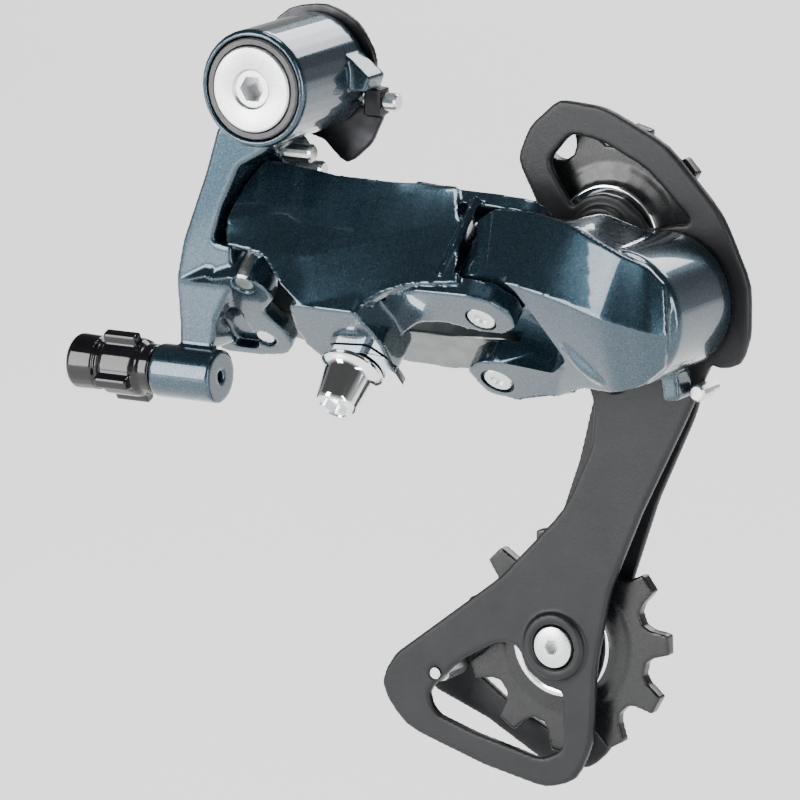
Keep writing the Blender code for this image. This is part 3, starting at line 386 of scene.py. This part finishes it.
def cut_and_baked(source, cuts, name):
    """A new object from source with the closed shapes in cuts taken out of it; source is used up."""
    cutters = []
    for cut in cuts:
        cutter = object_from(cut, "cutter")
        cutters.append(cutter)
        boolean = source.modifiers.new("cut", "BOOLEAN")
        boolean.operation = "DIFFERENCE"
        boolean.solver = "MANIFOLD"
        boolean.object = cutter
    made = baked(source, name)
    for used in [source, *cutters]:
        bpy.data.objects.remove(used, do_unlink=True)
    return made


def cast(shape, cuts, node, voxel, passes):
    """Joins overlapping closed solids into one softened casting, then cuts holes and clearances."""
    source = object_from(shape, "work")
    soften(source, voxel, passes)
    made = cut_and_baked(source, cuts, node + "_cast")
    finish_piece(made, node)
    made.data.set_sharp_from_angle(angle=CAST_EDGE)


def turned_piece(node, profile, place, cuts):
    """A finely turned replacement with crisp lathe edges."""
    shape = bmesh.new()
    add_turned(shape, profile, place)
    made = cut_and_baked(object_from(shape, "work"), cuts, node + "_turned")
    finish_piece(made, node)
    made.data.set_sharp_from_angle(angle=TURNED_EDGE)


def prism_cut(outline, low, high, place):
    shape = bmesh.new()
    add_prism(shape, outline, low, high, place)
    return shape


def turned_cut(profile, place):
    shape = bmesh.new()
    add_turned(shape, profile, place)
    return shape


# The outer link's skin runs between four rails of (x, b, depth).
LINK_TOP = ((-7, 3.0, 22.0), (2, 3.8, 22.5), (8, 4.3, 23.0), (11, 4.6, 23.3), (24, 6.3, 22.3),
            (29, 7.6, 21.0), (33, 8.6, 20.2), (36.0, 9.0, 19.8))
LINK_CREASE = ((-8.3, 3.4, 38.2), (2, 4.0, 34.9), (8, 4.5, 32.6), (11, 4.8, 31.4), (25, 6.3, 25.4),
               (30, 7.3, 23.2), (34, 8.2, 21.4), (36.6, 8.9, 20.6))
LINK_VALLEY = ((-7.5, 4.5, 41), (2, 5.0, 42), (8.2, 5.5, 44), (13, 5.8, 43.2), (24, 6.5, 37.6),
               (31, 7.1, 33.6), (36, 7.7, 30), (40, 8.2, 27.5))
LINK_BOTTOM = ((-6.5, 5, 43.4), (2.4, 5.3, 44.6), (8.4, 6.6, 50.5), (13.0, 9.6, 53.2), (24.2, 11.0, 53.0),
               (30, 9.6, 47.8), (36, 8.8, 45.4), (46.6, 8.0, 44.4))
LINK_SECTIONS = 84
LINK_BAND_STEPS = 6          # points across the skin from one rail to the next
LINK_WALL = 3.0              # the skin's thickness along b


def link_casting():
    shape = bmesh.new()
    sections = []
    rails = [sampled(rail, LINK_SECTIONS) for rail in (LINK_TOP, LINK_CREASE, LINK_VALLEY, LINK_BOTTOM)]
    for top, crease, valley, bottom in zip(*rails):
        outer = [[p + (q - p) * k / LINK_BAND_STEPS for p, q in zip(upper, lower)]
                 for upper, lower in ((top, crease), (crease, valley), (valley, bottom))
                 for k in range(LINK_BAND_STEPS)]
        inner = [[x, b + LINK_WALL, a] for x, b, a in outer]
        inner.append([bottom[0], bottom[1] + LINK_WALL, bottom[2] - 1.6])      # a rounded lower lip
        outer.append(bottom)
        sections.append([LEAN @ Vector((x, b, -a)) * MM for x, b, a in outer + inner[::-1]])
    add_loft(shape, sections)

    add_prism(shape, circle(B_OUTER, 5.2), -38.3, -26.3, LEAN)
    web = [(-8.6, 5.5), (3, 5.5), (2, 9.5), (0.2, 14.5), (-10.0, 14.0)]
    add_prism(shape, web, -38.3, -26.3, LEAN)
    lower_arm = rounded([(22, 24, 1), (26, 16, 3), (31, 11.8, 3), (37, 9.4, 3), (49, 9.2, 2), (54, 10.2, 3),
                         (57.6, 14.5, 3), (57.2, 19, 3), (53, 21.4, 3), (47, 21, 3), (40, 19.4, 4),
                         (34, 20.6, 4), (28, 25.6, 3), (24, 31, 1)])
    add_prism(shape, lower_arm, -46.6, -42.0, LEAN)
    upper_ear = rounded([(26, 7.6, 1), (36, 9.2, 1), (46, 9.6, 4), (55, 10.5, 5), (57, 17, 5), (53, 23.5, 5),
                         (46, 23.5, 5), (40, 16, 5), (30, 12.5, 3)])
    add_prism(shape, upper_ear, -23.6, -20.2, LEAN)
    end_wall = [(P_OUTER.x + r * math.cos(math.radians(t)), P_OUTER.y + r * math.sin(math.radians(t)))
                for r, turn in ((10.5, range(130, 233, 6)), (12.2, range(232, 129, -6))) for t in turn]
    add_prism(shape, end_wall, -43.0, -22.6, LEAN)
    clamp_boss = rounded([(9.2, 17.4, 1), (10.5, 9.6, 2), (26, 9.8, 1.5), (28.5, 20, 2), (28.0, 31, 3),
                          (20, 33.5, 3), (13, 30, 3), (9.6, 23, 2)])
    add_prism(shape, clamp_boss, -53.4, -43.8, LEAN)

    bracket_room = [(-20, -11), (1.4, -12.4), (0.2, -14.3), (-5.6, -17.9), (-9.4, -26), (-11.8, -33.5),
                    (-20, -33.5)]
    cuts = [prism_cut(circle(B_OUTER, PIN_BORE), -50, -18, LEAN),
            prism_cut(circle(P_OUTER, PIN_BORE), -50, -18, LEAN),
            prism_cut(circle(P_OUTER, 3.4), -48, -45.1, LEAN),
            prism_cut(circle(P_OUTER, 10.3, TURNED_STEPS), -41.95, -23.65, LEAN),
            prism_cut(bracket_room, 12.4, 25, UPRIGHT),
            prism_cut(circle(CLAMP_AXIS, CLAMP_BORE), -56, -42, LEAN)]
    cast(shape, cuts, "outer_link", 0.36, 5)


def leaned(x, b, depth):
    return tuple(LEAN @ Vector((x, b, -depth)))


# The P knuckle's skin runs between five rails of world X, Y and Z, the near end of each set in LEAN.
KNUCKLE_FRONT = (leaned(43.6, 9.4, 27.5), leaned(47.5, 7.7, 25.4), leaned(57, 7.2, 25.4),
                 (68, -19.4, -23.2), (79.5, -22.4, -26.8), (87, -22.8, -29.2), (91.0, -22.4, -32.8))
KNUCKLE_CREASE = (leaned(49.4, 9.0, 42.0), leaned(52.5, 8.2, 42.6), leaned(60, 8.0, 43.6),
                  (70, -27.6, -37.2), (80, -28.5, -39.8), (89.5, -27.2, -41.8), (93.2, -24.8, -42.4))
KNUCKLE_UNDER = (leaned(48.4, 28, 48.6), leaned(52, 38.6, 48.6), leaned(60, 38.8, 48.6),
                 (70, -17.0, -57.0), (79.5, -21.8, -56.2), (86, -22.6, -54.0), (91.0, -22.4, -49.8))
KNUCKLE_BACK = (leaned(48.4, 28, 35.0), leaned(52, 34.0, 33.0), leaned(60, 34.0, 32.0),
                (70, 0.5, -50.0), (79.5, 1.0, -52.0), (86, 1.0, -50.0), (89, -6.0, -47.0))
KNUCKLE_TOP = (leaned(43.6, 16, 24.4), leaned(47.5, 15.0, 24.0), leaned(57, 15.0, 24.0),
               (68, -6.0, -22.6), (79.5, -2.0, -27.4), (87, -2.0, -31.0), (89, -6.0, -34.5))
KNUCKLE_SECTIONS = 72
KNUCKLE_BAND_STEPS = 4


def knuckle_casting():
    shape = bmesh.new()
    sections = []
    rails = [sampled(rail, KNUCKLE_SECTIONS)
             for rail in (KNUCKLE_FRONT, KNUCKLE_CREASE, KNUCKLE_UNDER, KNUCKLE_BACK, KNUCKLE_TOP)]
    for ring in zip(*rails):
        sections.append([Vector(p + (q - p) * k / KNUCKLE_BAND_STEPS for p, q in zip(point, after)) * MM
                         for point, after in zip(ring, ring[1:] + ring[:1])
                         for k in range(KNUCKLE_BAND_STEPS)])
    add_loft(shape, sections)

    barrel = [(0, 1.6), (14.1, 1.6), (14.4, 1.3), (14.4, -20.4), (14.1, -21.2), (13.2, -21.8), (0, -21.8)]
    add_turned(shape, barrel, P_AXIS)
    add_prism(shape, circle(P_OUTER, 8.1), -41.4, -24.0, LEAN)
    x, b = P_INNER
    lower_ear = rounded([(x - 6.4, b - 3, 3), (x - 2, b - 6.2, 3), (58, 27, 2), (66, 28, 2), (66, 36, 2),
                         (x + 3, b + 6.0, 4), (x - 4, b + 4.8, 3)])
    add_prism(shape, lower_ear, -48.6, -42.9, LEAN)
    upper_ear = rounded([(x - 5.2, b - 3, 2), (x - 3, b - 7, 2), (57, 25, 2), (60, 30, 2), (x + 4.8, b + 3, 3),
                         (x - 4, b + 3, 3)])
    add_prism(shape, upper_ear, -34.1, -30.6, LEAN)
    stop_lug = rounded([(80.6, -53, 0), (84.6, -53, 0), (85.4, -60.2, 1), (81.8, -60.8, 1)])
    add_prism(shape, stop_lug, -1.2, 5.0, UPRIGHT)

    inner_link_slot = rounded([(30, 22, 1), (45, 24.5, 2), (54.5, 29.5, 2), (56, 37, 3), (52, 44, 2),
                               (30, 46, 1)])
    arm_pocket = rounded([(38, 5, 0), (52, 5, 1), (58.8, 9.2, 4), (63, 18, 4), (67, 25.5, 2), (62.4, 30.0, 2),
                          (50, 28.2, 2), (38, 30.5, 0)])
    ear_room = rounded([(36, 4, 0), (52, 2, 4), (60, 8, 4), (60, 18, 5), (56, 26, 4), (36, 26, 0)])
    spring_chamber = [(0, 4), (11.4, 4), (11.4, -17.4), (0, -17.4)]
    axle_bore = [(0, 4), (4.7, 4), (4.7, -19.9), (0, -19.9)]
    cuts = [prism_cut(inner_link_slot, -42.9, -34.1, LEAN),
            prism_cut(arm_pocket, -52, -41.6, LEAN),
            prism_cut(ear_room, -23.9, -10, LEAN),
            turned_cut(spring_chamber, P_AXIS),
            turned_cut(axle_bore, P_AXIS),
            prism_cut(circle(P_OUTER, PIN_BORE), -50, -18, LEAN),
            prism_cut(circle(P_INNER, PIN_BORE), -50, -18, LEAN),
            prism_cut(circle(P_INNER, 3.7), -52, -47.1, LEAN)]
    cast(shape, cuts, "p_knuckle", 0.36, 7)


def dust_cap(node, centre, side):
    """A pressed cap with a rolled rim, over the pulley's hub; side is -1 outboard and 1 inboard."""
    shape = bmesh.new()
    profile = [(4.45, 3.4), (10.6, 3.4), (11.0, 3.5), (11.15, 3.7), (11.0, 3.9), (10.5, 3.95), (10.0, 3.8),
               (8.4, 3.8), (7.9, 3.9), (4.45, 3.9)]
    middle = Matrix.Translation((centre[0], PULLEY_MIDDLE, centre[1]))
    rings = turned_rings(shape, profile, middle @ Matrix.Rotation(math.radians(-90 * side), 4, "X"))
    for a, b in zip(rings, rings[1:] + rings[:1]):
        for i in range(TURNED_STEPS):
            j = (i + 1) % TURNED_STEPS
            shape.faces.new((a[i], b[i], b[j], a[j]))
    made = object_from(shape, node + "_rolled")
    finish_piece(made, node)
    made.data.set_sharp_from_angle(angle=CAP_EDGE)


AXLE_BOLT = [
    (0, 8.5), (4.1, 8.5), (4.9, 7.7), (4.9, -27.4), (8.9, -27.4), (8.9, -29.5), (8.8, -29.75), (8.5, -29.95),
    (4.5, -29.98), (4.2, -29.9), (3.75, -29.35), (0, -29.3)]
CLAMP_FACE = -53.4           # h of the clamp boss's lower face, which the heights below start from
CLAMP_BOLT = [
    (0, 8.0), (2.2, 8.0), (2.5, 7.6), (2.5, -2.3), (6.5, -2.3), (6.75, -2.5), (6.8, -2.8), (6.7, -3.3),
    (6.2, -3.8), (5.7, -4.2), (5.35, -4.6), (5.2, -5.2), (4.4, -11.5), (4.25, -12.0), (3.9, -12.4),
    (3.5, -12.5), (3.2, -12.4), (3.0, -12.1), (0, -12.0)]
PULLEY_BOLT = [
    (0, 5.7), (2.1, 5.7), (2.5, 5.3), (2.5, -5.6), (4.3, -5.6), (4.4, -5.7), (4.4, -7.1), (4.25, -7.4),
    (3.9, -7.55), (0, -7.58)]


def turned_pieces():
    turned_piece("b_axle_bolt", AXLE_BOLT, ALONG_Y, [prism_cut(hexagon(5.0), -31, -25.5, ALONG_Y)])
    clamp = LEAN @ Matrix.Translation((CLAMP_AXIS.x, CLAMP_AXIS.y, CLAMP_FACE))
    turned_piece("cable_clamp_bolt", CLAMP_BOLT, clamp, [prism_cut(hexagon(5.0), -14, -8.6, clamp)])
    for pulley, centre in PULLEYS.items():
        axis = Matrix.Translation((centre[0], PULLEY_MIDDLE, centre[1])) @ ALONG_Y
        turned_piece(pulley + "_bolt", PULLEY_BOLT, axis, [prism_cut(hexagon(3.0), -9, -5.4, axis)])


# --- the pieces ---------------------------------------------------------------------------

REBUILT = {"outer_link", "p_knuckle", "b_axle_bolt", "cable_clamp_bolt", "guide_pulley_bolt",
           "tension_pulley_bolt"}
link_casting()
knuckle_casting()
turned_pieces()
for pulley, centre in PULLEYS.items():
    for label, side in (("outer", -1), ("inner", 1)):
        dust_cap(pulley + "_cap_" + label, centre, side)
        REBUILT.add(pulley + "_cap_" + label)

REFINED = {                  # voxel size in millimetres, smoothing passes
    "b_knuckle": (0.36, 8),
    "cage_outer_plate": (0.42, 4),
    "cage_inner_plate": (0.42, 3),
    "guide_pulley": (0.36, 3),
    "tension_pulley": (0.36, 3),
    "adjuster_knob": (0.26, 5),
    "inner_link": (0.36, 5),
    "stopper_plate": (0.3, 2),
}
for node_name, (voxel_size, smoothing) in REFINED.items():
    refined(node_name, voxel_size, smoothing)

for node_name, node in NODES.items():
    if node_name in REFINED or node_name in REBUILT:
        continue
    for material_slot in node.material_slots:
        material_slot.material = MATERIALS[SLOT_OF[node_name]]
    bevel = node.modifiers.new("edge", "BEVEL")
    bevel.width = BEVEL_WIDTH
    bevel.segments = 2
    bevel.limit_method = "ANGLE"
    bevel.angle_limit = BEVEL_EDGE


# --- floor, light and camera ----------------------------------------------------------------

FLOOR_REACH = 12.0           # metres
FLOOR_LEVEL = -0.26
SKY_STRENGTH = 0.7
SKY = ((0.0, 0.9), (0.56, 0.7), (0.72, 0.12))     # height, 0 straight down and 1 straight up, and shade
LIGHT_TARGET = (0.03, 0.0, -0.06)
FLOOR_LIGHT_TARGET = (0.0, 1.6, FLOOR_LEVEL)
SOFTBOXES = (                # name, place, target, width, height, watts
    ("key", (-0.55, -0.95, 0.25), LIGHT_TARGET, 0.45, 0.9, 16),
    ("side", (1.0, -0.75, 0.15), LIGHT_TARGET, 0.25, 0.9, 9),
    ("top", (0.0, 0.15, 1.3), LIGHT_TARGET, 0.5, 0.5, 10),
    ("floor_light", (0.0, 2.6, 1.9), FLOOR_LIGHT_TARGET, 2.5, 1.2, 75),
)
VIEW_RIGHT = Vector((0.870, 0.492, 0.0))          # the photograph's directions: 29.5 degrees round,
VIEW_UP = Vector((-0.104, 0.184, 0.977))          # 12.2 degrees up
VIEW_CENTRE = Vector((0.0235, -0.010, -0.0656))
VIEW_DISTANCE = 1.762
LENS = 387.0                 # millimetres, on a sensor 36 wide
SENSOR = 36.0


def floor():
    mesh = bpy.data.meshes.new("floor")
    corners = [(x * FLOOR_REACH, y * FLOOR_REACH, FLOOR_LEVEL) for x, y in ((-1, -1), (1, -1), (1, 1), (-1, 1))]
    mesh.from_pydata(corners, [], [(0, 1, 2, 3)])
    made = bpy.data.objects.new("floor", mesh)
    bpy.context.scene.collection.objects.link(made)
    pale = Nodes("floor_pale")
    pale.colour(pale.noise(3, 2), (0.3, (0.86, 0.86, 0.86)), (0.7, (0.89, 0.89, 0.89)))
    pale.value(Roughness=0.8, Specular_IOR_Level=0.1, Emission_Color=WHITE, Emission_Strength=0.85)
    mesh.materials.append(pale.material)


def softbox(name, where, target, width, height, power):
    light = bpy.data.lights.new(name, "AREA")
    light.shape = "RECTANGLE"
    light.size = width
    light.size_y = height
    light.energy = power
    made = bpy.data.objects.new(name, light)
    made.location = where
    made.rotation_euler = (Vector(target) - Vector(where)).to_track_quat("-Z", "Y").to_euler()
    bpy.context.scene.collection.objects.link(made)


def sky():
    """Soft light that is bright from below and level, as in a white booth, and dim from above."""
    world = bpy.data.worlds.new("studio")
    world.use_nodes = True
    tree = world.node_tree
    split = tree.nodes.new("ShaderNodeSeparateXYZ")
    tree.links.new(tree.nodes.new("ShaderNodeTexCoord").outputs["Generated"], split.inputs["Vector"])
    height = tree.nodes.new("ShaderNodeMapRange")
    height.inputs["From Min"].default_value = -1.0
    tree.links.new(split.outputs["Z"], height.inputs["Value"])
    ramp = tree.nodes.new("ShaderNodeValToRGB")
    ramp.color_ramp.elements.new(0.5)
    for element, (position, shade) in zip(ramp.color_ramp.elements, SKY):
        element.position = position
        element.color = (shade, shade, shade, 1.0)
    tree.links.new(height.outputs["Result"], ramp.inputs["Fac"])
    tree.links.new(ramp.outputs["Color"], tree.nodes["Background"].inputs["Color"])
    tree.nodes["Background"].inputs["Strength"].default_value = SKY_STRENGTH
    bpy.context.scene.world = world


def camera():
    right = VIEW_RIGHT.normalized()
    towards = right.cross(VIEW_UP.normalized()).normalized()
    up = towards.cross(right).normalized()
    data = bpy.data.cameras.new("camera")
    data.lens = LENS
    data.sensor_width = SENSOR
    data.clip_start = 0.05
    data.clip_end = 60.0
    made = bpy.data.objects.new("camera", data)
    turned = Matrix((right, up, towards)).transposed().to_4x4()
    made.matrix_world = Matrix.Translation(VIEW_CENTRE + towards * VIEW_DISTANCE) @ turned
    bpy.context.scene.collection.objects.link(made)
    bpy.context.scene.camera = made


floor()
sky()
for softbox_row in SOFTBOXES:
    softbox(*softbox_row)
camera()
